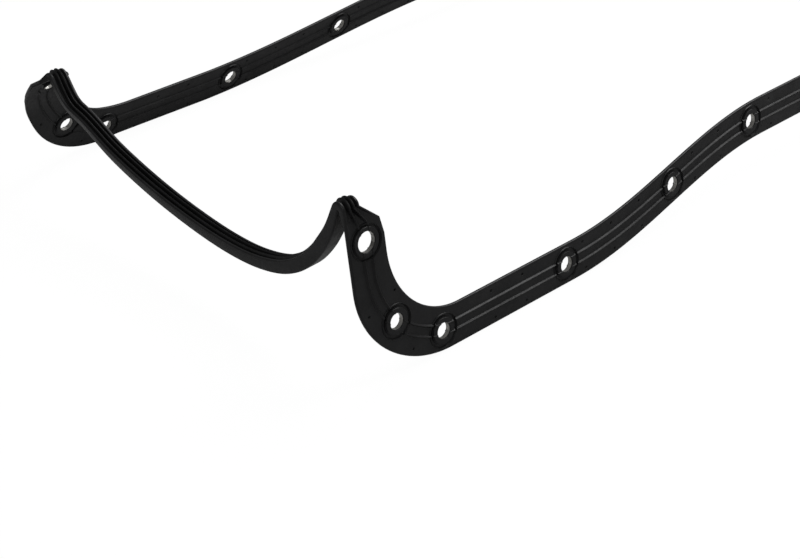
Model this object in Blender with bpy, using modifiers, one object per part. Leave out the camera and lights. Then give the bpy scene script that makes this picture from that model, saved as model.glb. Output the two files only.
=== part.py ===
"""Oil pan gasket: one moulded rubber frame, with a steel sleeve in each bolt hole.

The frame is drawn as it stands on a table. Its two side rails stand on their outer edges, and the soft
end seals hang in a U between the tops of the rails' hooked ends. Each rail is first laid out flat, as a
sheet with a distance along it (s) and a height on it (t), measured from the third bolt of the front
hook. The sheet is then leant inwards, and the far one curls over as well.

The whole moulding is one loft round a closed loop: near rail, front seal, far rail, rear seal.
Metres, +Z up. The origin is at the middle of the underside.
"""
import bmesh
import bpy
from math import atan2, cos, degrees, pi, radians, sin
from mathutils import Matrix, Vector

# Section of the moulding
FLANGE_THICK = 0.0018
FOLD_THICK = 0.0034
SEAL_THICK = 0.0052
SEAL_WIDTH = 0.0094
BEAD_HEIGHT = 0.0006
BEAD_WIDTH = 0.0020
BEAD_SPACING = 0.0047

# Rails, laid out flat
RAIL_OUTER = 0.0093
RAIL_INNER = 0.0092
MIDDLE = 0.238
NEAR_JOG_START = 0.080
NEAR_LEVEL_HALF = 0.023
NEAR_JOG_RISE = 0.022
FAR_JOG_START = 0.061
FAR_LEVEL_HALF = 0.004
FAR_JOG_RISE = 0.0118

# Hooked ends, laid out flat
HOOK_OUTER_SIDE = -0.0435
HOOK_INNER_SIDE = -0.0242
OUTER_BEND_END = 0.0045
OUTER_BEND_TOP = 0.034
INNER_BEND_END = 0.011
INNER_BEND_TOP = 0.046
SHOULDER_HEIGHT = 0.0615
SHOULDER_SLANT = 0.0015
WAIST_DROP = 0.0075
FOLD_HEIGHT = 0.0700
FOLD_SIDE = -0.0452

# Bolt holes, laid out flat, and their sleeves
CORNER_BOLT = (-0.0344, 0.0538)
BEND_BOLT = (-0.0243, 0.0147)
NEAR_BOLTS = (0.0, 0.0750, 0.1476, 0.2056)
FAR_BOLTS = (-0.0030, 0.0762, 0.1502)
BORE_RADIUS = 0.0035
CORNER_BORE_RADIUS = 0.00445
SLEEVE_WALL = 0.0010
SLEEVE_GAP = 0.0003
BOSS_WALL = 0.0025
CORNER_BOSS_WALL = 0.0009
BOSS_HEIGHT = 0.0007

# How the gasket stands
RAIL_GAP = 0.2428
NEAR_LEAN = radians(9.5)
FAR_LEAN = radians(15.5)
FAR_CURL = radians(31.0)
FAR_CURL_START = 0.024
FAR_CURL_END = 0.044
FAR_SHIFT = 0.009
FAR_HOOK_OPENING = radians(10.5)
FAR_HOOK_PIVOT = -0.005
FAR_HOOK_BLEND = 0.025
FOLD_RADIUS = 0.0020
SEAL_BOTTOM = 0.0186
SEAL_COURSE = ((0.036, 0.700), (0.098, 0.390), (0.180, 0.148), (0.290, 0.020), (0.405, 0.000),
               (0.560, 0.060), (0.720, 0.185), (0.860, 0.385), (0.950, 0.640))

# Fineness of the loft
HOOK_STEPS = 10
JOG_STEPS = 10
FOLD_STEPS = 5
THICKENING_STEPS = 4
SEAL_STEPS = 26
ROUND_STEPS = 16

RUBBER_COLOUR = (0.012, 0.012, 0.013, 1.0)
STEEL_COLOUR = (0.42, 0.42, 0.41, 1.0)


def material(name, colour, metallic, roughness):
    """A Principled material of one plain colour."""
    made = bpy.data.materials.new(name)
    made.use_nodes = True
    shader = made.node_tree.nodes["Principled BSDF"]
    shader.inputs["Base Color"].default_value = colour
    shader.inputs["Metallic"].default_value = metallic
    shader.inputs["Roughness"].default_value = roughness
    return made


def jog(s, start, end, rise):
    """Height that a rail has gained at s, on a smooth S-bend."""
    share = min(max((s - start) / (end - start), 0.0), 1.0)
    return rise * (1.0 - cos(pi * share)) / 2.0


def rail_middle(side):
    """Where the middle of a rail lies, counted from the third bolt of its own front hook."""
    return MIDDLE if side == "near" else MIDDLE - FAR_SHIFT


def jog_ends(side):
    """Where a rail's S-bend starts and ends. Past its end the rail is level up to the middle."""
    if side == "near":
        return NEAR_JOG_START, rail_middle(side) - NEAR_LEVEL_HALF
    return FAR_JOG_START, rail_middle(side) - FAR_LEVEL_HALF


def rail_rise(side, s):
    """Height of the bolt line at s, on the front half."""
    start, end = jog_ends(side)
    return jog(s, start, end, NEAR_JOG_RISE if side == "near" else FAR_JOG_RISE)


def opened(side, s, t):
    """The far hooks are pulled a little open in their own plane, with the fold kept level."""
    if side == "near":
        return s, t
    share = min(max((FAR_HOOK_PIVOT + FAR_HOOK_BLEND - s) / FAR_HOOK_BLEND, 0.0), 1.0)
    angle = FAR_HOOK_OPENING * share
    drop = (s - FAR_HOOK_PIVOT) * sin(angle) * (1.0 - t / FOLD_HEIGHT)
    return s - t * sin(angle), t * cos(angle) + drop


def stand(side, s, t, end):
    """Place on a standing rail's front face, and its direction up the sheet. end is front or rear."""
    s, t = opened(side, s, t)
    if side == "near":
        lean = NEAR_LEAN
        y, z = t * sin(lean), t * cos(lean)
        up = Vector((0.0, sin(lean), cos(lean)))
    else:
        flat = min(t, FAR_CURL_START)
        curled = min(max(t - FAR_CURL_START, 0.0), FAR_CURL_END - FAR_CURL_START)
        beyond = max(t - FAR_CURL_END, 0.0)
        radius = (FAR_CURL_END - FAR_CURL_START) / FAR_CURL
        lean = FAR_LEAN + curled / radius
        y = RAIL_GAP - flat * sin(FAR_LEAN) - radius * (cos(FAR_LEAN) - cos(lean)) - beyond * sin(lean)
        z = flat * cos(FAR_LEAN) + radius * (sin(lean) - sin(FAR_LEAN)) + beyond * cos(lean)
        z += RAIL_OUTER * (cos(FAR_LEAN) - cos(NEAR_LEAN)) - FLANGE_THICK * sin(NEAR_LEAN)
        up = Vector((0.0, -sin(lean), cos(lean)))
        s += FAR_SHIFT
    x = s if end == "front" else 2.0 * MIDDLE - s
    return Vector((x, y, z)), up


def sheet(side, s, t, end="front"):
    """Middle of the rubber at (s, t), and the direction that the sealing face for the engine looks in."""
    place, up = stand(side, s, t, end)
    back = Vector((0.0, up.z, -up.y))
    place += back * FLANGE_THICK / 2.0
    return place, (-back if side == "near" else back)


def quarter(centre_s, centre_t, across, down, share):
    """Point on the lower left quarter of an ellipse, from its side (0) to its foot (1)."""
    angle = share * pi / 2.0
    return centre_s - across * cos(angle), centre_t - down * sin(angle)


def flange_outline(side):
    """Pairs of points on the outer and inner edge of half a rail, from its fold to the middle.

    The last value of each is where the bolt line lies between the edges."""
    bolt = (CORNER_BOLT[0] - HOOK_OUTER_SIDE) / (HOOK_INNER_SIDE - HOOK_OUTER_SIDE)
    straight = RAIL_OUTER / (RAIL_OUTER + RAIL_INNER)
    fold_inner = FOLD_SIDE + SEAL_WIDTH
    waist = SHOULDER_HEIGHT - WAIST_DROP
    pairs = [((FOLD_SIDE, FOLD_HEIGHT), (fold_inner, FOLD_HEIGHT), 0.5),
             ((HOOK_OUTER_SIDE, SHOULDER_HEIGHT), (HOOK_INNER_SIDE - SHOULDER_SLANT, SHOULDER_HEIGHT), bolt),
             ((HOOK_OUTER_SIDE, waist), (HOOK_INNER_SIDE, waist), bolt)]
    for step in range(HOOK_STEPS + 1):
        share = step / HOOK_STEPS
        outer = quarter(OUTER_BEND_END, OUTER_BEND_TOP, OUTER_BEND_END - HOOK_OUTER_SIDE,
                        OUTER_BEND_TOP + RAIL_OUTER, share)
        inner = quarter(INNER_BEND_END, INNER_BEND_TOP, INNER_BEND_END - HOOK_INNER_SIDE,
                        INNER_BEND_TOP - RAIL_INNER, share)
        pairs.append((outer, inner, bolt + (straight - bolt) * min(1.35 * share, 1.0)))
    start, end = jog_ends(side)
    run = [start + (end - start) * step / JOG_STEPS for step in range(JOG_STEPS + 1)] + [rail_middle(side)]
    for s in run:
        rise = rail_rise(side, s)
        pairs.append(((s, rise - RAIL_OUTER), (s, rise + RAIL_INNER), straight))
    return pairs


def section(width, bolt, thick, under):
    """Points round the moulding's section: share of the way across it, and height above its middle.

    Two beads run along each face. under is how much of them the second face has."""
    half = thick / 2.0
    top = [(0.0, half, 0.0)]
    for centre in (-BEAD_SPACING / 2.0, BEAD_SPACING / 2.0):
        for offset, height in ((-BEAD_WIDTH / 2.0, 0.0), (0.0, BEAD_HEIGHT), (BEAD_WIDTH / 2.0, 0.0)):
            top.append((bolt + (centre + offset) / width, half, height))
    top.append((1.0, half, 0.0))
    upper = [(share, flat + bead) for share, flat, bead in top]
    lower = [(share, -flat - under * bead) for share, flat, bead in reversed(top)]
    return upper + lower


def flange_rings(side):
    """Rings of points along a whole rail, from its front fold to its rear one."""
    half = flange_outline(side)
    rings = []
    for end, pairs in (("front", half), ("rear", list(reversed(half))[1:])):
        for outer, inner, bolt in pairs:
            width = (Vector(outer) - Vector(inner)).length
            at_fold = outer[1] >= FOLD_HEIGHT
            thick = FOLD_THICK if at_fold else FLANGE_THICK
            ring = []
            for share, height in section(width, bolt, thick, 0.0 if at_fold else 1.0):
                s = outer[0] + share * (inner[0] - outer[0])
                t = outer[1] + share * (inner[1] - outer[1])
                place, face = sheet(side, s, t, end)
                ring.append(place + face * height)
            rings.append(ring)
    return rings


def through(points, share):
    """Point at a share of the way along a smooth curve through the points."""
    position = share * (len(points) - 1)
    index = min(int(position), len(points) - 2)
    f = position - index
    before = points[max(index - 1, 0)]
    here, there = points[index], points[index + 1]
    after = points[min(index + 2, len(points) - 1)]
    return 0.5 * (2.0 * here + (there - before) * f + (2.0 * before - 5.0 * here + 4.0 * there - after) * f * f
                  + (3.0 * here - before - 3.0 * there + after) * f ** 3)


def fold(side, toward):
    """Arc by which the seal turns over at the top of a hook: its points, from the flange outwards."""
    centre_s = FOLD_SIDE + SEAL_WIDTH / 2.0
    top, face = sheet(side, centre_s, FOLD_HEIGHT)
    hinge = top - face * FOLD_RADIUS
    start = atan2(face.z, face.y)
    leave = Vector((0.0, -toward.z, toward.y))
    if leave.z < 0.0:
        leave = -leave
    stop = atan2(leave.z, leave.y)
    points = []
    for step in range(FOLD_STEPS + 1):
        angle = start + (stop - start) * step / FOLD_STEPS
        points.append(hinge + FOLD_RADIUS * Vector((0.0, cos(angle), sin(angle))))
    return points


def seal_line():
    """Middle line of the front seal, from the top of the near hook, down the U and up to the far one's."""
    near_end = fold("near", Vector((0.0, 0.42, -0.91)))
    far_end = fold("far", Vector((0.0, -0.55, -0.84)))
    a, b = near_end[-1], far_end[-1]
    course = [a]
    for share, height in SEAL_COURSE:
        z = SEAL_BOTTOM + height * (a.z - SEAL_BOTTOM if share < 0.405 else b.z - SEAL_BOTTOM)
        course.append(Vector((a.x + share * (b.x - a.x), a.y + share * (b.y - a.y), z)))
    course.append(b)
    inner = [through(course, step / SEAL_STEPS) for step in range(1, SEAL_STEPS)]
    return near_end + inner + list(reversed(far_end))


def seal_rings(end):
    """Rings of points along an end seal, from the near rail to the far one."""
    line = seal_line()
    rings = []
    for index in range(1, len(line) - 1):
        point = line[index]
        along = line[index + 1] - line[index - 1]
        face = Vector((0.0, -along.z, along.y)).normalized()
        from_fold = min(index, len(line) - 1 - index) - FOLD_STEPS
        grown = min(max(from_fold / THICKENING_STEPS, 0.0), 1.0)
        thick = FOLD_THICK + (SEAL_THICK - FOLD_THICK) * grown
        ring = []
        for share, height in section(SEAL_WIDTH, 0.5, thick, 0.0):
            place = point + Vector(((share - 0.5) * SEAL_WIDTH, 0.0, 0.0)) + face * height
            if end == "rear":
                place.x = 2.0 * MIDDLE - place.x
            ring.append(place)
        rings.append(ring)
    return rings


def moulding_mesh():
    """The rubber, as one loft round the loop."""
    rings = seal_rings("front") + flange_rings("far") + list(reversed(seal_rings("rear")))
    rings += list(reversed(flange_rings("near")))
    build = bmesh.new()
    made = [[build.verts.new(point) for point in ring] for ring in rings]
    count = len(rings[0])
    for index, ring in enumerate(made):
        following = made[(index + 1) % len(made)]
        for i in range(count):
            j = (i + 1) % count
            build.faces.new((ring[i], following[i], following[j], ring[j]))
    bmesh.ops.triangulate(build, faces=build.faces)
    bmesh.ops.recalc_face_normals(build, faces=build.faces)
    mesh = bpy.data.meshes.new("gasket_moulding")
    build.to_mesh(mesh)
    build.free()
    return mesh


def bolt_places(side):
    """Name, place and facing of each hole of a rail, with its bore radius, front to rear."""
    rail = NEAR_BOLTS if side == "near" else FAR_BOLTS
    half = [(CORNER_BOLT, CORNER_BORE_RADIUS), (BEND_BOLT, BORE_RADIUS)]
    half += [((s, rail_rise(side, s)), BORE_RADIUS) for s in rail]
    holes = [(place, bore, "front") for place, bore in half]
    if side == "far":
        middle = rail_middle(side)
        holes.append(((middle, rail_rise(side, middle)), BORE_RADIUS, "front"))
    holes += [(place, bore, "rear") for place, bore in reversed(half)]
    found = []
    for number, ((s, t), bore, end) in enumerate(holes, start=1):
        place, face = sheet(side, s, t, end)
        found.append((f"{side}_sleeve_{number:02d}", place, face, bore))
    return found


def facing(place, face):
    """Matrix that stands a piece made along Z at a place, along a face's direction."""
    return Matrix.Translation(place) @ face.to_track_quat("Z", "X").to_matrix().to_4x4()


def round_bars(name, bars):
    """One mesh of separate plain cylinders, each given by its matrix, radius and length."""
    build = bmesh.new()
    for matrix, radius, length in bars:
        bmesh.ops.create_cone(build, cap_ends=True, segments=ROUND_STEPS, radius1=radius, radius2=radius,
                              depth=length, matrix=matrix)
    mesh = bpy.data.meshes.new(name)
    build.to_mesh(mesh)
    build.free()
    return mesh


def sleeve_mesh(name, bore, length):
    """A plain tube, turned from the section of its wall."""
    build = bmesh.new()
    outer = bore + SLEEVE_WALL
    corners = ((outer, length / 2.0), (outer, -length / 2.0), (bore, -length / 2.0), (bore, length / 2.0))
    loop = [build.verts.new((x, 0.0, z)) for x, z in corners]
    for i in range(len(loop)):
        build.edges.new((loop[i], loop[(i + 1) % len(loop)]))
    mesh = bpy.data.meshes.new(name)
    build.to_mesh(mesh)
    build.free()
    return mesh


def turn(thing):
    """Turns an object's outline round its Z axis."""
    screw = thing.modifiers.new("turned", "SCREW")
    screw.axis = "Z"
    screw.steps = ROUND_STEPS
    screw.render_steps = ROUND_STEPS
    screw.use_merge_vertices = True
    screw.merge_threshold = 0.00001


def add_object(name, mesh, collection, parent):
    made = bpy.data.objects.new(name, mesh)
    collection.objects.link(made)
    made.parent = parent
    return made


def cut_or_join(target, tool, operation):
    """A Boolean with a tool object, which is left out of the finished part."""
    tool.hide_render = True
    tool.display_type = "WIRE"
    step = target.modifiers.new(tool.name, "BOOLEAN")
    step.operation = operation
    step.solver = "EXACT"
    step.object = tool


def main():
    for old in list(bpy.data.objects):
        bpy.data.objects.remove(old)
    parts = bpy.data.collections.new("oil_pan_gasket")
    tools = bpy.data.collections.new("cutters")
    for collection in (parts, tools):
        bpy.context.scene.collection.children.link(collection)
    origin = bpy.data.objects.new("gasket_origin", None)
    parts.objects.link(origin)

    rubber = material("moulded_rubber", RUBBER_COLOUR, 0.0, 0.55)
    steel = material("sleeve_steel", STEEL_COLOUR, 1.0, 0.4)
    moulding = add_object("gasket_moulding", moulding_mesh(), parts, origin)
    moulding.data.materials.append(rubber)

    holes = bolt_places("near") + bolt_places("far")
    boss_length = FLANGE_THICK + 2.0 * BOSS_HEIGHT
    walls = {BORE_RADIUS: BOSS_WALL, CORNER_BORE_RADIUS: CORNER_BOSS_WALL}
    bosses = [(facing(place, face), bore + SLEEVE_WALL + walls[bore], boss_length)
              for _, place, face, bore in holes]
    bores = [(facing(place, face), bore + SLEEVE_WALL + SLEEVE_GAP, 3.0 * boss_length)
             for _, place, face, bore in holes]
    boss_tool = add_object("hole_bosses", round_bars("hole_bosses", bosses), tools, origin)
    bore_tool = add_object("hole_bores", round_bars("hole_bores", bores), tools, origin)
    cut_or_join(moulding, boss_tool, "UNION")
    cut_or_join(moulding, bore_tool, "DIFFERENCE")

    meshes = {}
    for name, place, face, bore in holes:
        if bore not in meshes:
            meshes[bore] = sleeve_mesh(f"sleeve_{len(meshes)}", bore, FLANGE_THICK)
            meshes[bore].materials.append(steel)
        sleeve = add_object(name, meshes[bore], parts, origin)
        sleeve.matrix_local = facing(place, face)
        turn(sleeve)

    bpy.context.view_layer.update()
    solid = moulding.evaluated_get(bpy.context.evaluated_depsgraph_get()).to_mesh()
    corners = [vertex.co for vertex in solid.vertices]
    low = Vector([min(corner[axis] for corner in corners) for axis in range(3)])
    high = Vector([max(corner[axis] for corner in corners) for axis in range(3)])
    origin.location = (-(low.x + high.x) / 2.0, -(low.y + high.y) / 2.0, -low.z)
    print("gasket", [round(value, 4) for value in high - low], "far lean at fold",
          round(degrees(FAR_LEAN + FAR_CURL), 1))


main()
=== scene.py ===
# %% [markdown]
# # An oil pan gasket
#
# This gasket seals an engine block to its oil pan. It is one moulding of black rubber: two side rails with hooked
# ends, and two soft end seals that hang between the hooks. A short steel sleeve sits in every bolt hole and stops
# the bolts from crushing the rubber. The measured model comes first, because the finished rubber lies in its place.

# %% Load the measured frame
from math import atan2, cos, pi, radians, sin

import bmesh
import bpy
from mathutils import Matrix, Vector


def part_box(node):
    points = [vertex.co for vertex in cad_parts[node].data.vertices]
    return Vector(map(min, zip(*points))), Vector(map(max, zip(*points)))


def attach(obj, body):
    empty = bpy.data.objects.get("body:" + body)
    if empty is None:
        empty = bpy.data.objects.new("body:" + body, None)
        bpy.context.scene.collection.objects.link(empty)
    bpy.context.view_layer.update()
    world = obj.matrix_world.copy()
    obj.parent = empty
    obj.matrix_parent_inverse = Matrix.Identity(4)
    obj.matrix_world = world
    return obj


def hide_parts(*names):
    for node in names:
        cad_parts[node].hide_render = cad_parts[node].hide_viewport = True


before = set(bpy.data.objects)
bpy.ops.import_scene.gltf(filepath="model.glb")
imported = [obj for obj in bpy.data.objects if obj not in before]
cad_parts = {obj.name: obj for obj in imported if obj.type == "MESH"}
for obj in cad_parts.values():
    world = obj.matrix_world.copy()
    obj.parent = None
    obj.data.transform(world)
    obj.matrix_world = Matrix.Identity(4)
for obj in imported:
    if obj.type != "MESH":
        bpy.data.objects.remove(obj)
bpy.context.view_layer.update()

# %% [markdown]
# ## Where things are
#
# Every place is counted from the third hole of the near rail, which is easy to find on the real gasket. Its sleeve
# gives the hole's middle. The hole's front face lies half the rubber's thickness ahead of it. Lengths are in metres.

# %% The hole that all places are counted from
FLANGE_THICK = 0.0018
NEAR_LEAN = radians(9.5)

near_back = Vector((0.0, cos(NEAR_LEAN), -sin(NEAR_LEAN)))
sleeve_low, sleeve_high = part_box("near_sleeve_03")
third_hole = (sleeve_low + sleeve_high) / 2.0 - near_back * FLANGE_THICK / 2.0
print("third hole of the near rail at", [round(value, 4) for value in third_hole])

# %% [markdown]
# ## The camera
#
# The view looks down on the hooked end from the front left. The lens and the place come from the ellipses that the
# round bolt holes make in the picture: a 7 mm hole shows how far away it is, and its tilt shows which way it faces.

# %% The camera, as a place and three directions
CAMERA_PLACE = Vector((-0.4619, -0.4602, 0.4385))
CAMERA_RIGHT = Vector((0.7250, -0.6888, 0.0))
CAMERA_UP = Vector((0.3691, 0.3885, 0.8443))
CAMERA_AHEAD = Vector((0.5815, 0.6121, -0.5358))
LENS_MM = 85.8
SENSOR_MM = 36.0
NEAREST_SEEN = 0.01

camera_data = bpy.data.cameras.new("camera")
camera_data.lens = LENS_MM
camera_data.sensor_width = SENSOR_MM
camera_data.clip_start = NEAREST_SEEN
camera = bpy.data.objects.new("camera", camera_data)
bpy.context.scene.collection.objects.link(camera)
camera_turn = Matrix((CAMERA_RIGHT, CAMERA_UP, -CAMERA_AHEAD)).transposed().to_4x4()
camera.matrix_world = Matrix.Translation(third_hole + CAMERA_PLACE) @ camera_turn
bpy.context.scene.camera = camera
bpy.context.scene.view_settings.view_transform = "Standard"
print("camera is", round(CAMERA_PLACE.length, 3), "m from the third hole")

# %% [markdown]
# ## Colours and nodes
#
# Colours are written as the hex values that a paint program shows. Blender works in linear light, so one function
# turns them. Another adds a shader node and sets it up in one go, which keeps each material short.

# %% Two helpers for materials
def linear(code):
    """The linear colour of a hex value such as "1e1e1f"."""
    shares = [int(code[i:i + 2], 16) / 255.0 for i in (0, 2, 4)]
    return tuple([c / 12.92 if c <= 0.04045 else ((c + 0.055) / 1.055) ** 2.4 for c in shares] + [1.0])


def add_node(surface, kind, inputs, **settings):
    """Adds a node to a material. An input is a plain value, or the output socket that feeds it."""
    tree = surface.node_tree
    node = tree.nodes.new(kind)
    for name, value in settings.items():
        setattr(node, name, value)
    for name, value in inputs.items():
        if isinstance(value, bpy.types.NodeSocket):
            tree.links.new(value, node.inputs[name])
        else:
            node.inputs[name].default_value = value
    return node


print("a screen grey of 808080 is", round(linear("808080")[0], 3), "in linear light")

# %% [markdown]
# ## Nitrile rubber, moulded
#
# The moulding is black nitrile rubber, filled with carbon black and pressed in a steel mould. That gives a deep
# grey-black with a soft satin sheen, so the roughness is a half or less. The mould leaves a fine even grain, and
# the sheet shows faint cloudy patches, a centimetre wide, where the surface bloomed or was handled. The grain of the
# real mould is near 0.1 mm, too fine to show at this distance, so it is drawn at 0.35 mm.

# %% The rubber
RUBBER_BLACK = "101011"
RUBBER_BLOOM = "1a1a1b"
RUBBER_IOR = 1.52
RUBBER_SPECULAR = 0.24
RUBBER_ROUGHNESS = (0.38, 0.50)
GRAIN_SIZE = 0.00035
CLOUD_SIZE = 0.011
SCUFF_SIZE = 0.0022

rubber = bpy.data.materials.new("moulded_nitrile_rubber")
rubber.use_nodes = True
rubber_shader = rubber.node_tree.nodes["Principled BSDF"]
place = add_node(rubber, "ShaderNodeNewGeometry", {})
clouds = add_node(rubber, "ShaderNodeTexNoise", {"Vector": place.outputs["Position"], "Scale": 1.0 / CLOUD_SIZE,
                                                 "Detail": 4.0, "Roughness": 0.55})
patches = add_node(rubber, "ShaderNodeMapRange", {"Value": clouds.outputs["Fac"], "From Min": 0.38, "From Max": 0.72})
skin = add_node(rubber, "ShaderNodeMix", {0: patches.outputs["Result"], 6: linear(RUBBER_BLACK),
                                          7: linear(RUBBER_BLOOM)}, data_type="RGBA")
scuffs = add_node(rubber, "ShaderNodeTexNoise", {"Vector": place.outputs["Position"], "Scale": 1.0 / SCUFF_SIZE,
                                                 "Detail": 3.0, "Roughness": 0.6})
sheen = add_node(rubber, "ShaderNodeMapRange", {"Value": scuffs.outputs["Fac"], "From Min": 0.3, "From Max": 0.7,
                                                "To Min": RUBBER_ROUGHNESS[0], "To Max": RUBBER_ROUGHNESS[1]})
print("the rubber's patches repeat about every", round(1000.0 * CLOUD_SIZE), "mm")

# %% [markdown]
# The grain and the patches also lift the surface a little. Two bump nodes in a row add one to the other, and their
# heights are real ones: 0.06 mm for the grain, 0.6 mm for the slow waves of the patches.

# %% The rubber's relief
GRAIN_HEIGHT = 0.00006
WAVE_HEIGHT = 0.0006

grain = add_node(rubber, "ShaderNodeTexNoise", {"Vector": place.outputs["Position"], "Scale": 1.0 / GRAIN_SIZE,
                                                "Detail": 2.0})
relief = add_node(rubber, "ShaderNodeBump", {"Height": grain.outputs["Fac"], "Strength": 0.25,
                                             "Distance": GRAIN_HEIGHT})
ripples = add_node(rubber, "ShaderNodeBump", {"Height": clouds.outputs["Fac"], "Strength": 0.5,
                                              "Distance": WAVE_HEIGHT, "Normal": relief.outputs["Normal"]})
for socket, value in (("Base Color", skin.outputs[2]), ("Roughness", sheen.outputs["Result"]),
                      ("Normal", ripples.outputs["Normal"])):
    rubber.node_tree.links.new(value, rubber_shader.inputs[socket])
rubber_shader.inputs["IOR"].default_value = RUBBER_IOR
rubber_shader.inputs["Specular IOR Level"].default_value = RUBBER_SPECULAR
print(len(rubber.node_tree.nodes), "nodes in the rubber")

# %% [markdown]
# ## Steel sleeves
#
# Each sleeve is a short piece of low-carbon steel strip, rolled into a tube and left bare. It is dull and lightly
# streaked, so a noise of about 1.6 mm drives both its grey and its roughness.

# %% The steel
STEEL_GREY = "b4b3af"
STEEL_STAIN = "8c8a85"
STEEL_ROUGHNESS = (0.34, 0.52)
STREAK_SIZE = 0.0016

steel = bpy.data.materials.new("rolled_steel")
steel.use_nodes = True
steel_shader = steel.node_tree.nodes["Principled BSDF"]
spot = add_node(steel, "ShaderNodeNewGeometry", {})
streaks = add_node(steel, "ShaderNodeTexNoise", {"Vector": spot.outputs["Position"], "Scale": 1.0 / STREAK_SIZE,
                                                 "Detail": 4.0})
stain = add_node(steel, "ShaderNodeMapRange", {"Value": streaks.outputs["Fac"], "From Min": 0.4, "From Max": 0.75})
bare = add_node(steel, "ShaderNodeMix", {0: stain.outputs["Result"], 6: linear(STEEL_GREY), 7: linear(STEEL_STAIN)},
                data_type="RGBA")
dull = add_node(steel, "ShaderNodeMapRange", {"Value": streaks.outputs["Fac"], "From Min": 0.3, "From Max": 0.7,
                                              "To Min": STEEL_ROUGHNESS[0], "To Max": STEEL_ROUGHNESS[1]})
steel.node_tree.links.new(bare.outputs[2], steel_shader.inputs["Base Color"])
steel.node_tree.links.new(dull.outputs["Result"], steel_shader.inputs["Roughness"])
steel_shader.inputs["Metallic"].default_value = 1.0

sleeves = [thing for name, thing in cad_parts.items() if "sleeve" in name]
for sleeve in sleeves:
    sleeve.data.materials.clear()
    sleeve.data.materials.append(steel)
print(len(sleeves), "sleeves in steel")

# %% [markdown]
# ## The bolt line
#
# A rail is first laid out flat, as a sheet with a distance along it (s) and a height on it (t). That is how the
# mould is drawn too, and it keeps the outline simple. The bolts lie on one line, which climbs in a smooth S-bend
# towards the middle of the engine. The rear half isn't seen in the picture, so it mirrors the front one.

# %% The height of the bolt line
MIDDLE = 0.238
FAR_SHIFT = 0.009
NEAR_JOG = (0.080, 0.215, 0.022)
FAR_JOG = (0.061, 0.225, 0.0118)


def rail_rise(side, s):
    """Height that the bolt line has gained at s. A jog is its start, its end and its rise."""
    start, end, rise = NEAR_JOG if side == "near" else FAR_JOG
    share = min(max((s - start) / (end - start), 0.0), 1.0)
    return rise * (1.0 - cos(pi * share)) / 2.0


print("the near bolt line gains", round(1000.0 * rail_rise("near", MIDDLE), 1), "mm")

# %% [markdown]
# ## From the flat sheet to the standing rail
#
# The near rail is a flat sheet that leans in by about 9 degrees. The far one leans further and curls over at the
# top, because the end seal pulls at it, and its hook is pulled a little open. One function does each step, so the
# outline of the rubber, its holes and its dimples all follow the same bend.

# %% Bending the sheet
RAIL_OUTER = 0.0093
RAIL_GAP = 0.2428
FAR_LEAN = radians(15.5)
FAR_CURL = radians(31.0)
FAR_CURL_START = 0.024
FAR_CURL_END = 0.044
FAR_HOOK_OPENING = radians(10.5)
FAR_HOOK_PIVOT = -0.005
FAR_HOOK_BLEND = 0.025
FOLD_HEIGHT = 0.0700


def opened(side, s, t):
    """The far hooks are pulled a little open in their own plane, with the fold kept level."""
    if side == "near":
        return s, t
    share = min(max((FAR_HOOK_PIVOT + FAR_HOOK_BLEND - s) / FAR_HOOK_BLEND, 0.0), 1.0)
    angle = FAR_HOOK_OPENING * share
    drop = (s - FAR_HOOK_PIVOT) * sin(angle) * (1.0 - t / FOLD_HEIGHT)
    return s - t * sin(angle), t * cos(angle) + drop


def curled_far(t):
    """Depth and height of the far sheet at t, and its lean there: straight, then an arc, then straight again."""
    flat = min(t, FAR_CURL_START)
    curled = min(max(t - FAR_CURL_START, 0.0), FAR_CURL_END - FAR_CURL_START)
    beyond = max(t - FAR_CURL_END, 0.0)
    radius = (FAR_CURL_END - FAR_CURL_START) / FAR_CURL
    lean = FAR_LEAN + curled / radius
    y = RAIL_GAP - flat * sin(FAR_LEAN) - radius * (cos(FAR_LEAN) - cos(lean)) - beyond * sin(lean)
    z = flat * cos(FAR_LEAN) + radius * (sin(lean) - sin(FAR_LEAN)) + beyond * cos(lean)
    return y, z + RAIL_OUTER * (cos(FAR_LEAN) - cos(NEAR_LEAN)) - FLANGE_THICK * sin(NEAR_LEAN), lean


def sheet(side, s, t, end="front"):
    """Middle of the rubber at (s, t), and the direction that its engine face looks in."""
    s, t = opened(side, s, t)
    if side == "near":
        y, z = t * sin(NEAR_LEAN), t * cos(NEAR_LEAN)
        up = Vector((0.0, sin(NEAR_LEAN), cos(NEAR_LEAN)))
    else:
        y, z, lean = curled_far(t)
        up = Vector((0.0, -sin(lean), cos(lean)))
        s += FAR_SHIFT
    x = s if end == "front" else 2.0 * MIDDLE - s
    back = Vector((0.0, up.z, -up.y))
    middle = third_hole + Vector((x, y, z)) + back * FLANGE_THICK / 2.0
    return middle, (-back if side == "near" else back)


print("top of the far hook at", [round(value, 4) for value in sheet("far", 0.0, FOLD_HEIGHT)[0]])

# %% [markdown]
# ## The hooks
#
# A hook is a quarter of an ellipse on each side, so its arm narrows smoothly into the rail. Above the top hole the
# sheet narrows again, at a slanted shoulder, to the width of the fold. The end seal has pulled the far hook out of
# shape: its outer corner stands out, its shoulder is drawn in, and the fold has slipped across and down.

# %% Where the hook's corners lie
HOOK_OUTER_SIDE = -0.0435
SHOULDER_HEIGHT = 0.0615
OUTER_BEND_TOP = 0.034
FOLD_SIDE = -0.0442
FAR_FOLD_ACROSS = 0.0039
FAR_FOLD_DROP = 0.0041
FAR_CORNER_OUT = 0.0042
FAR_SHOULDER_IN = 0.0035
PULL_START = 0.6 * OUTER_BEND_TOP
PULL_END = SHOULDER_HEIGHT - 0.004


def fold_place(side):
    """Where the end seal's fold starts on the sheet."""
    if side == "near":
        return FOLD_SIDE, FOLD_HEIGHT
    return FOLD_SIDE + FAR_FOLD_ACROSS, FOLD_HEIGHT - FAR_FOLD_DROP


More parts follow.
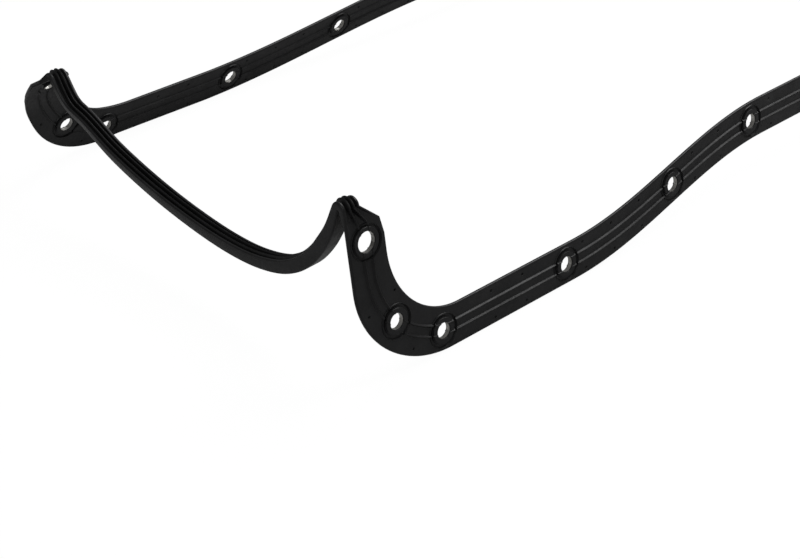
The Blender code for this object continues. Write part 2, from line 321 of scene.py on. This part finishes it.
def pulled(side, size, t):
    """How far an edge of the far hook is pulled aside at height t: not at all at first, and by size at the top."""
    if side == "near":
        return 0.0
    share = min(max((t - PULL_START) / (PULL_END - PULL_START), 0.0), 1.0)
    return -size * share * share * (3.0 - 2.0 * share)


print("the far corner is pulled out by", round(-1000.0 * pulled("far", FAR_CORNER_OUT, SHOULDER_HEIGHT), 1), "mm")

# %% [markdown]
# ## The outline
#
# The outline is kept as pairs of points on the outer and the inner edge, one pair after another along the rail. Each
# pair is later filled with one section of the rubber, so it also says where the bolt line runs between its points.

# %% The arm of the hook and its bend
RAIL_INNER = 0.0092
HOOK_INNER_SIDE = -0.0242
OUTER_BEND_END = 0.0045
INNER_BEND_END = 0.011
INNER_BEND_TOP = 0.046
CORNER_BOLT = (-0.0344, 0.0538)
BOLT_LINE_EASE = 1.35
HOOK_STEPS = 30

corner_share = (CORNER_BOLT[0] - HOOK_OUTER_SIDE) / (HOOK_INNER_SIDE - HOOK_OUTER_SIDE)
rail_share = RAIL_OUTER / (RAIL_OUTER + RAIL_INNER)


def between(first, second, share):
    return first + share * (second - first)


def quarter(centre_s, centre_t, across, down, share):
    """Point on the lower left quarter of an ellipse, from its side (0) to its foot (1)."""
    angle = share * pi / 2.0
    return Vector((centre_s - across * cos(angle), centre_t - down * sin(angle)))


def bend_stations():
    """Pairs round the bend of a hook, with the share of the way across at which the bolt line runs."""
    found = []
    for step in range(HOOK_STEPS + 1):
        share = step / HOOK_STEPS
        outer = quarter(OUTER_BEND_END, OUTER_BEND_TOP, OUTER_BEND_END - HOOK_OUTER_SIDE,
                        OUTER_BEND_TOP + RAIL_OUTER, share)
        inner = quarter(INNER_BEND_END, INNER_BEND_TOP, INNER_BEND_END - HOOK_INNER_SIDE,
                        INNER_BEND_TOP - RAIL_INNER, share)
        found.append((outer, inner, between(corner_share, rail_share, min(BOLT_LINE_EASE * share, 1.0)), 0.0))
    return found


print("the bolt line runs", round(corner_share, 2), "of the way across a hook and", round(rail_share, 2), "on a rail")

# %% [markdown]
# The neck above the shoulder is where the fold begins. There the section changes from the rail's to the end seal's,
# so each pair also says how far that change has come, from 0 on the rail to 1 at the fold.

# %% From the fold to the middle of the rail
FOLD_WIDTH = 0.0086
FAR_SHOULDER_DROP = 0.0035
SHOULDER_SLANT = 0.0015
WAIST_DROP = 0.0075
ARM_SHARES = (0.0, 0.33, 0.66)
NECK_STEPS = 6
JOG_STEPS = 36


def neck_stations(side):
    """Pairs from the fold down to the slanted shoulder."""
    across, height = fold_place(side)
    fold_pair = (Vector((across, height)), Vector((across + FOLD_WIDTH, height)))
    inner_height = SHOULDER_HEIGHT if side == "near" else SHOULDER_HEIGHT - FAR_SHOULDER_DROP
    shoulder = (Vector((HOOK_OUTER_SIDE, SHOULDER_HEIGHT)), Vector((HOOK_INNER_SIDE - SHOULDER_SLANT, inner_height)))
    found = []
    for step in range(NECK_STEPS):
        share = step / NECK_STEPS
        found.append((between(fold_pair[0], shoulder[0], share), between(fold_pair[1], shoulder[1], share),
                      between(0.5, corner_share, share), 1.0 - share))
    return found + [(*shoulder, corner_share, 0.0)]


def rail_stations(side):
    """Outer edge, inner edge, share of the bolt line between them, and how far the fold has begun."""
    stations = neck_stations(side)
    for share in ARM_SHARES:
        t = between(SHOULDER_HEIGHT - WAIST_DROP, OUTER_BEND_TOP, share)
        outer, inner = Vector((HOOK_OUTER_SIDE, t)), Vector((HOOK_INNER_SIDE, max(t, INNER_BEND_TOP)))
        stations.append((outer, inner, corner_share, 0.0))
    stations += bend_stations()
    start, end, _ = NEAR_JOG if side == "near" else FAR_JOG
    middle = MIDDLE if side == "near" else MIDDLE - FAR_SHIFT
    for s in [between(start, end, step / JOG_STEPS) for step in range(JOG_STEPS + 1)] + [middle]:
        rise = rail_rise(side, s)
        stations.append((Vector((s, rise - RAIL_OUTER)), Vector((s, rise + RAIL_INNER)), rail_share, 0.0))
    for outer, inner, _, _ in stations[NECK_STEPS:]:
        if outer.x < OUTER_BEND_END:
            outer.x += pulled(side, FAR_CORNER_OUT, outer.y)
            inner.x += pulled(side, FAR_SHOULDER_IN, inner.y)
    return stations


print(len(rail_stations("near")), "pairs of points on half a rail")

# %% [markdown]
# ## The section
#
# Two raised beads run along each face of the rails, one on each side of the bolts, and do the sealing. On an end
# seal the engine face has two ribs between deep grooves instead, with a lip along each edge, and the other face is
# plain. One function gives both kinds, so the rubber can be lofted in one closed ring without a seam.

# %% Points across one face
BEAD_WIDTH = 0.0014
EDGE_RADIUS = 0.0007
LIP = 0.0011
GROOVE_EASE = 0.0005
VALLEY_SHARE = 0.4
EDGE_SHARES = (0.0, 0.3, 0.65, 1.0)
BEAD_SHARES = (-0.5, -0.32, -0.15, 0.0, 0.15, 0.32, 0.5)


def edge_points(half):
    """The rounded edge of a face, as (distance in from the edge, height)."""
    angles = [share * pi / 2.0 for share in EDGE_SHARES]
    return [(EDGE_RADIUS * (1.0 - cos(angle)), half - EDGE_RADIUS * (1.0 - sin(angle))) for angle in angles]


def face_points(width, bolt, half, bead_height, groove, spacing):
    """Points across one face, from its outer edge to its inner one, as (distance across, height)."""
    edge = edge_points(half) + [(LIP, half), (LIP + GROOVE_EASE, half - groove)]
    bead = [(BEAD_WIDTH * share, bead_height * (0.5 + 0.5 * cos(2.0 * pi * share)) - groove * (abs(share) == 0.5))
            for share in BEAD_SHARES]
    centre = bolt * width
    points = list(edge)
    for side in (-1.0, 1.0):
        points += [(centre + side * spacing / 2.0 + across, half + high) for across, high in bead]
        if side < 0.0:
            points.append((centre, half - VALLEY_SHARE * groove))
    return points + [(width - across, high) for across, high in reversed(edge)]


print(len(edge_points(FLANGE_THICK / 2.0)), "points round each edge of a face")

# %% [markdown]
# The two faces go together into one closed list. Places across are shares of the width, and heights are counted from
# the middle of the rubber, so the list can be laid on a sheet that bends and narrows.

# %% The whole section
BEAD_HEIGHT = 0.0008
BEAD_SPACING = 0.0047
RIB_SPACING = 0.0021
GROOVE_DEPTH = 0.0013


def section(width, bolt, thick, folded, under):
    """Points round the whole section: share of the way across, and height above the middle of the rubber."""
    spacing = between(BEAD_SPACING, RIB_SPACING, folded)
    half = thick / 2.0
    top = face_points(width, bolt, half, BEAD_HEIGHT, GROOVE_DEPTH * folded, spacing)
    low = face_points(width, bolt, half, BEAD_HEIGHT * under, 0.0, spacing)
    return [(x / width, height) for x, height in top] + [(x / width, -height) for x, height in reversed(low)]


print(len(section(RAIL_OUTER + RAIL_INNER, rail_share, FLANGE_THICK, 0.0, 1.0)), "points round the section")

# %% [markdown]
# ## The end seal
#
# The seal turns over at the top of each hook and hangs in a flat U. Its middle line starts at each hook with a small
# arc, which carries on from the sheet and turns until it points down into the U.

# %% The arc over the top of a hook
FOLD_RADIUS = 0.0020
FOLD_STEPS = 12


def fold(side, toward):
    """Arc by which the seal turns over at the top of a hook, until it runs in the direction toward."""
    across, height = fold_place(side)
    top, face = sheet(side, across + FOLD_WIDTH / 2.0, height)
    hinge = top - face * FOLD_RADIUS
    start = atan2(face.z, face.y)
    leave = Vector((0.0, -toward.z, toward.y))
    if leave.z < 0.0:
        leave = -leave
    stop = atan2(leave.z, leave.y)
    angles = [between(start, stop, step / FOLD_STEPS) for step in range(FOLD_STEPS + 1)]
    return [hinge + FOLD_RADIUS * Vector((0.0, cos(angle), sin(angle))) for angle in angles]


print("the arcs turn on a radius of", 1000.0 * FOLD_RADIUS, "mm")

# %% [markdown]
# Between the arcs the middle line is a smooth curve that goes through every place in a short list. A place is written
# as two shares: how far across from hook to hook, and how high between the bottom and the hook on its own side of
# the lowest place. The places were found by fitting the edges of the seal to the picture.

# %% Course of the end seal
NEAR_LEAVING = Vector((0.0, 0.42, -0.91))
FAR_LEAVING = Vector((0.0, -0.55, -0.84))
SEAL_BOTTOM = 0.0186
LOWEST_SHARE = 0.405
SEAL_COURSE = ((0.030, 0.714), (0.090, 0.389), (0.165, 0.178), (0.260, 0.065), (0.370, 0.030), (0.500, 0.082),
               (0.640, 0.191), (0.780, 0.374), (0.885, 0.600), (0.955, 0.730))
SEAL_STEPS = 96


def through(points, share):
    """Point at a share of the way along a smooth curve through the points."""
    position = share * (len(points) - 1)
    index = min(int(position), len(points) - 2)
    f = position - index
    before, after = points[max(index - 1, 0)], points[min(index + 2, len(points) - 1)]
    here, there = points[index], points[index + 1]
    return 0.5 * (2.0 * here + (there - before) * f + (2.0 * before - 5.0 * here + 4.0 * there - after) * f * f
                  + (3.0 * here - before - 3.0 * there + after) * f ** 3)


def seal_line():
    """Middle line of the front seal, from the top of the near hook, down the U and up to the far one's."""
    near_end = fold("near", NEAR_LEAVING)
    far_end = fold("far", FAR_LEAVING)
    a, b = near_end[-1], far_end[-1]
    bottom = third_hole.z + SEAL_BOTTOM
    course = [a]
    for share, height in SEAL_COURSE:
        z = bottom + height * ((a.z if share < LOWEST_SHARE else b.z) - bottom)
        course.append(Vector((a.x + share * (b.x - a.x), a.y + share * (b.y - a.y), z)))
    course.append(b)
    inner = [through(course, step / SEAL_STEPS) for step in range(1, SEAL_STEPS)]
    return near_end + inner + list(reversed(far_end))


seal_places = seal_line()
seal_length = sum((second - first).length for first, second in zip(seal_places, seal_places[1:]))
print("an end seal is", round(1000.0 * seal_length), "mm long")

# %% [markdown]
# The soft seal also twists as it hangs: its grooved face looks up at the near hook and turns towards the front at
# the far one. The rubber is thinner and wider in each arc, where it bends, and takes its full thickness soon after.

# %% Sections along the end seal
FOLD_THICK = 0.0034
SEAL_THICK = 0.0062
SEAL_WIDTH = 0.0074
SEAL_TWIST = (-0.036, 0.242, 0.309)
THICKENING_STEPS = 12


def seal_frame(line, index):
    """Directions across the seal and out of its grooved face at a place, and how far it is past the folds."""
    last = len(line) - 1
    along = line[index + 1] - line[index - 1]
    flat_face = Vector((0.0, -along.z, along.y)).normalized()
    grown = min(max((min(index, last - index) - FOLD_STEPS) / THICKENING_STEPS, 0.0), 1.0)
    way = min(max((index - FOLD_STEPS) / (last - 2 * FOLD_STEPS), 0.0), 1.0)
    twist = grown * (SEAL_TWIST[0] + SEAL_TWIST[1] * way + SEAL_TWIST[2] * way * way)
    across = Vector((cos(twist), 0.0, 0.0)) + sin(twist) * flat_face
    return across, cos(twist) * flat_face - Vector((sin(twist), 0.0, 0.0)), grown


def seal_rings(end):
    """Rings of points along an end seal, from the near rail to the far one."""
    rings = []
    for index in range(1, len(seal_places) - 1):
        across, face, grown = seal_frame(seal_places, index)
        width = between(FOLD_WIDTH, SEAL_WIDTH, grown)
        ring = []
        for share, height in section(width, 0.5, between(FOLD_THICK, SEAL_THICK, grown), 1.0, 0.0):
            point = seal_places[index] + across * (share - 0.5) * width + face * height
            if end == "rear":
                point.x = 2.0 * (third_hole.x + MIDDLE) - point.x
            ring.append(point)
        rings.append(ring)
    return rings


print(len(seal_rings("front")), "rings along an end seal")

# %% [markdown]
# ## One loft for the whole moulding
#
# The rings of points go round the loop once: front seal, far rail, rear seal, near rail. Neighbouring rings are
# joined by four-sided faces, so the rubber is one closed skin from the start and no seam has to be hidden.

# %% Sections along a rail
def rail_rings(side):
    """Rings of points along a whole rail, from its front fold to its rear one."""
    front_half = rail_stations(side)
    rings = []
    for end, stations in (("front", front_half), ("rear", list(reversed(front_half))[1:])):
        for outer, inner, bolt, folded in stations:
            ring = []
            thick = between(FLANGE_THICK, FOLD_THICK, folded)
            for share, height in section((outer - inner).length, bolt, thick, folded, 1.0 - folded):
                s, t = between(outer, inner, share)
                middle, face = sheet(side, s, t, end)
                ring.append(middle + face * height)
            rings.append(ring)
    return rings


print(len(rail_rings("near")), "rings along a rail")

# %% [markdown]
# A bmesh holds corners and faces while they are being made. One helper turns it into an object, and serves again
# for the collars and the cuts. Recalculating the normals makes every face look outwards, which a Boolean needs.

# %% Loft the rubber
def object_from(build, name):
    """Turns the faces outwards, and makes an object of them."""
    bmesh.ops.recalc_face_normals(build, faces=build.faces)
    mesh = bpy.data.meshes.new(name)
    build.to_mesh(mesh)
    build.free()
    made = bpy.data.objects.new(name, mesh)
    bpy.context.scene.collection.objects.link(made)
    return made


rings = seal_rings("front") + rail_rings("far") + list(reversed(seal_rings("rear")))
rings += list(reversed(rail_rings("near")))
loft = bmesh.new()
corners = [[loft.verts.new(point) for point in ring] for ring in rings]
for index, ring in enumerate(corners):
    following = corners[(index + 1) % len(corners)]
    for i in range(len(ring)):
        j = (i + 1) % len(ring)
        loft.faces.new((ring[i], following[i], following[j], ring[j]))
rubber_frame = object_from(loft, "rubber_frame")
rubber_frame.data.materials.append(rubber)
print(len(rings), "rings,", len(rubber_frame.data.polygons), "faces in the loft")

# %% [markdown]
# ## The bolt holes
#
# Every hole stands on the sheet, so its axis follows the lean and the curl. The corner holes are wider than the
# others. The far rail has one hole more, in its middle.

# %% Where the holes are
BORE_RADIUS = 0.0035
CORNER_BORE_RADIUS = 0.00445
BEND_BOLT = (-0.0243, 0.0147)
NEAR_BOLTS = (0.0, 0.0750, 0.1476, 0.2056)
FAR_BOLTS = (-0.0030, 0.0762, 0.1502)


def standing(side, s, t, end):
    """Matrix that stands a turned shape on the sheet, with +Z out of the engine face."""
    middle, face = sheet(side, s, t, end)
    return Matrix.Translation(middle) @ face.to_track_quat("Z", "X").to_matrix().to_4x4()


def bolt_holes():
    """Side, place on the sheet, end and bore radius of every hole."""
    holes = []
    for side, bolts in (("near", NEAR_BOLTS), ("far", FAR_BOLTS)):
        places = [(CORNER_BOLT, CORNER_BORE_RADIUS), (BEND_BOLT, BORE_RADIUS)]
        places += [((s, rail_rise(side, s)), BORE_RADIUS) for s in bolts]
        holes += [(side, s, t, end, bore) for (s, t), bore in places for end in ("front", "rear")]
    holes.append(("far", MIDDLE - FAR_SHIFT, rail_rise("far", MIDDLE), "front", BORE_RADIUS))
    return holes


print(len(bolt_holes()), "bolt holes")

# %% [markdown]
# All shapes round a hole are round themselves, so they are made as on a lathe: an outline of radius and height is
# spun round the hole's axis. A closed outline gives a ring. An open one gives a plug, which is closed by a flat end
# at each side.

# %% Turned shapes
ROUND_STEPS = 48


def turned(build, matrix, outline, closed_ring, steps=ROUND_STEPS):
    """Spins an outline of (radius, height) points round an axis. It is a ring, or a plug with flat ends."""
    loops = []
    for step in range(steps):
        angle = 2.0 * pi * step / steps
        loops.append([build.verts.new(matrix @ Vector((r * cos(angle), r * sin(angle), h))) for r, h in outline])
    count = len(outline)
    for step in range(steps):
        first, second = loops[step], loops[(step + 1) % steps]
        for i in range(count if closed_ring else count - 1):
            j = (i + 1) % count
            build.faces.new((first[i], second[i], second[j], first[j]))
    if not closed_ring:
        build.faces.new([loop[0] for loop in loops])
        build.faces.new([loop[-1] for loop in reversed(loops)])


print("a turned shape has", ROUND_STEPS, "sides")

# %% [markdown]
# ## Collars, grooves and rims
#
# Round each hole the rubber stands up in a low collar. Its lip reaches in over the end of the steel sleeve, so only
# the sleeve's inner wall shows. A shallow groove is moulded round the collar, and a thin raised rim round the
# groove. Collars and rims are joined to the rubber. Grooves and bores are cut away, and each bore is wider inside,
# where the sleeve sits. The far corner holes lie too near the pulled shoulder for a rim.

# %% Sizes round a hole, counted out from the sleeve
SLEEVE_WALL = 0.0010
CLOSE = 0.00005
EASE = 0.0002
SPARE = 0.001
COLLAR_HEIGHT = 0.0005
RIM_HEIGHT = 0.0004
COLLAR_WALL, CORNER_COLLAR_WALL = 0.0013, 0.0009
RING_GROOVE, CORNER_GROOVE = (0.0018, 0.00265, 0.0004), (0.0013, 0.0018, 0.0004)
RING_RIM, CORNER_RIM = (0.0029, 0.0034), (0.0022, 0.0026)

face_level = FLANGE_THICK / 2.0
collar_top = face_level + COLLAR_HEIGHT
lip_level = face_level + CLOSE
rim_peak = face_level + RIM_HEIGHT


def collar(build, matrix, bore, wall, width):
    """A low ring that stands out of both faces, with eased outer edges."""
    outer, top = wall + width, collar_top
    turned(build, matrix, [(bore - EASE, -top), (outer - EASE, -top), (outer, EASE - top), (outer, top - EASE),
                           (outer - EASE, top), (bore - EASE, top)], True)


def stepped_bore(build, matrix, bore, wall):
    """A plug that cuts the bore: narrow at the lips, and wide between them for the sleeve."""
    top, lip = collar_top, lip_level
    turned(build, matrix, [(bore + EASE, 2.0 * top), (bore + EASE, top), (bore + CLOSE, top - EASE),
                           (bore + CLOSE, lip), (wall, lip), (wall, -lip), (bore + CLOSE, -lip),
                           (bore + CLOSE, EASE - top), (bore + EASE, -top), (bore + EASE, -2.0 * top)], False)


def raised_rim(build, matrix, low, high):
    """A thin ring with a peaked top on both faces."""
    middle, foot = (low + high) / 2.0, face_level - EASE
    turned(build, matrix, [(low, -foot), (middle, -rim_peak), (high, -foot), (high, foot), (middle, rim_peak),
                           (low, foot)], True)


def ring_groove(build, matrix, low, high, deep, facing):
    """A ring that cuts a shallow groove with sloping sides in one face."""
    floor, beyond = facing * (face_level - deep), facing * (face_level + SPARE)
    turned(build, matrix, [(low - EASE, beyond), (low, floor), (high, floor), (high + EASE, facing * face_level),
                           (high + EASE, beyond)], True)


print("a collar is", round(2000.0 * (BORE_RADIUS + SLEEVE_WALL + CLOSE + COLLAR_WALL), 1), "mm across")

# %% [markdown]
# Everything that is joined on goes into one mesh, and everything that is cut away into another. So two Boolean steps
# are enough for all the holes.

# %% Collect what is joined on and what is cut away
collars = bmesh.new()
cuts = bmesh.new()
for side, s, t, end, bore in bolt_holes():
    matrix = standing(side, s, t, end)
    wall = bore + SLEEVE_WALL + CLOSE
    at_corner = bore == CORNER_BORE_RADIUS
    collar(collars, matrix, bore, wall, CORNER_COLLAR_WALL if at_corner else COLLAR_WALL)
    stepped_bore(cuts, matrix, bore, wall)
    if side == "near" or not at_corner:
        low, high = CORNER_RIM if at_corner else RING_RIM
        raised_rim(collars, matrix, wall + low, wall + high)
    low, high, deep = CORNER_GROOVE if at_corner else RING_GROOVE
    for facing in (1.0, -1.0):
        ring_groove(cuts, matrix, wall + low, wall + high, deep, facing)
print(len(collars.faces), "faces in the collars and rims,", len(cuts.faces), "in the cuts")

# %% [markdown]
# ## Dimples
#
# The mould's little pins leave dimples in the rails. They lie about 19 mm apart, in two rows, and a few more sit
# round the bend of each hook. A row skips the places next to a bolt.

# %% Where the dimples are
DIMPLE_SPACING = 0.0191
DIMPLE_START = 0.029
UPPER_ROW = 0.0062
LOWER_ROW = -0.0067
LOWER_ROW_SHIFT = 0.0012
BOLT_CLEARANCE = 0.009
HOOK_DIMPLES = ((-0.0171, -0.0011), (-0.0379, 0.0222), (-0.0231, 0.0283))


def dimple_places(side):
    """Places of the dimples on half a rail."""
    places = list(HOOK_DIMPLES)
    bolts = NEAR_BOLTS if side == "near" else FAR_BOLTS
    s = DIMPLE_START
    while s < MIDDLE - DIMPLE_SPACING / 4.0:
        if min(abs(s - bolt) for bolt in bolts) > BOLT_CLEARANCE:
            rise = rail_rise(side, s)
            places += [(s, rise + UPPER_ROW), (s + LOWER_ROW_SHIFT, rise + LOWER_ROW)]
        s += DIMPLE_SPACING
    return places


print(len(dimple_places("near")) + len(dimple_places("far")), "dimples on the front half")

# %% [markdown]
# A dimple is a small plug with a narrower floor. Each rail has them in the face that the camera sees, because nothing
# in the picture tells whether the other face has them too.

# %% Cut the dimples in the face that the camera sees
DIMPLE_MOUTH = 0.00084
DIMPLE_FLOOR = 0.00042
DIMPLE_DEPTH = 0.0006
DIMPLE_SPARE = 0.0003
DIMPLE_STEPS = 12

for side, facing in (("near", 1.0), ("far", -1.0)):
    for s, t in dimple_places(side):
        for end in ("front", "rear"):
            plug = [(DIMPLE_MOUTH, facing * (face_level + DIMPLE_SPARE)),
                    (DIMPLE_FLOOR, facing * (face_level - DIMPLE_DEPTH))]
            turned(cuts, standing(side, s, t, end), plug, False, DIMPLE_STEPS)
print(len(cuts.faces), "faces in all the cuts")

# %% [markdown]
# ## The finished rubber
#
# Two Boolean steps do the joining and the cutting, with the exact solver, which copes with beads that run through a
# collar. A hole can still close up where two shapes share a radius or a height, so all of these differ a little. The
# result is kept as a plain mesh, shaded smooth, with sharp edges wherever two faces meet at more than 38 degrees, so
# the beads look round and the rims stay crisp.

# %% Join, cut and shade
SHARP_ANGLE = radians(38.0)

for tool, operation in ((object_from(collars, "collars"), "UNION"), (object_from(cuts, "cuts"), "DIFFERENCE")):
    step = rubber_frame.modifiers.new(operation, "BOOLEAN")
    step.operation = operation
    step.solver = "EXACT"
    step.object = tool
solid = bpy.data.meshes.new_from_object(rubber_frame.evaluated_get(bpy.context.evaluated_depsgraph_get()))
rubber_frame.modifiers.clear()
rubber_frame.data = solid
for name in ("collars", "cuts"):
    bpy.data.objects.remove(bpy.data.objects[name])
solid.shade_smooth()
solid.set_sharp_from_angle(angle=SHARP_ANGLE)
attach(rubber_frame, "root")
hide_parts("gasket_moulding")
print(len(solid.polygons), "faces in the finished rubber")

# %% [markdown]
# ## The table
#
# The gasket stands on a plain matt surface. The camera sees it glow almost white, and the little that is left of
# its own shading keeps a faint shadow. To the rubber it is a mid grey, so that it doesn't light the rails from below
# and the beads keep their contrast.

# %% The table
TABLE_SIZE = 6.0
TABLE_GREY = "a8a8a8"
TABLE_ROUGHNESS = 0.9
GLOW_SHARE = 0.88
GLOW_STRENGTH = 1.09

table_build = bmesh.new()
bmesh.ops.create_grid(table_build, x_segments=1, y_segments=1, size=TABLE_SIZE)
table_mesh = bpy.data.meshes.new("table")
table_build.to_mesh(table_mesh)
table_build.free()
table = bpy.data.objects.new("table", table_mesh)
bpy.context.scene.collection.objects.link(table)

paper = bpy.data.materials.new("matt_white_paper")
paper.use_nodes = True
paper_shader = paper.node_tree.nodes["Principled BSDF"]
paper_shader.inputs["Base Color"].default_value = linear(TABLE_GREY)
paper_shader.inputs["Roughness"].default_value = TABLE_ROUGHNESS
paper_shader.inputs["Specular IOR Level"].default_value = 0.0
rays = add_node(paper, "ShaderNodeLightPath", {})
glow = add_node(paper, "ShaderNodeEmission", {"Color": (1.0, 1.0, 1.0, 1.0), "Strength": GLOW_STRENGTH})
seen = add_node(paper, "ShaderNodeMath", {0: rays.outputs["Is Camera Ray"], 1: GLOW_SHARE}, operation="MULTIPLY")
blend = add_node(paper, "ShaderNodeMixShader", {0: seen.outputs[0], 1: paper_shader.outputs[0], 2: glow.outputs[0]})
paper.node_tree.links.new(blend.outputs[0], paper.node_tree.nodes["Material Output"].inputs["Surface"])
table_mesh.materials.append(paper)
print("table", 2.0 * TABLE_SIZE, "m wide")

# %% [markdown]
# ## The light
#
# The room is white and dim, and fills the shadows evenly. A wide soft lamp stands high on the right, where the round
# tops of the beads mirror it to the camera as thin light lines. A weaker one on the left lights the end seal's side.

# %% The light
ROOM_LEVEL = 0.22
SEEN_LEVEL = 1.0

world = bpy.data.worlds.new("white_room")
world.use_nodes = True
bpy.context.scene.world = world
sky = world.node_tree.nodes["Background"]
sky.inputs["Color"].default_value = (1.0, 1.0, 1.0, 1.0)
path = add_node(world, "ShaderNodeLightPath", {})
level = add_node(world, "ShaderNodeMapRange", {"Value": path.outputs["Is Camera Ray"], "To Min": ROOM_LEVEL,
                                               "To Max": SEEN_LEVEL})
world.node_tree.links.new(level.outputs["Result"], sky.inputs["Strength"])


def soft_box(name, place, aim, size, watts):
    """A square lamp that points at a place on the gasket."""
    data = bpy.data.lights.new(name, "AREA")
    data.shape = "SQUARE"
    data.size = size
    data.energy = watts
    lamp = bpy.data.objects.new(name, data)
    bpy.context.scene.collection.objects.link(lamp)
    lamp.location = place
    lamp.rotation_euler = (Vector(aim) - Vector(place)).to_track_quat("-Z", "Y").to_euler()
    print(name, watts, "W")


soft_box("top_box", place=(0.7, -0.05, 1.25), aim=(-0.1, 0.0, 0.0), size=1.0, watts=24.0)
soft_box("left_box", place=(-1.3, -0.6, 0.9), aim=(-0.1, 0.0, 0.0), size=0.8, watts=5.0)
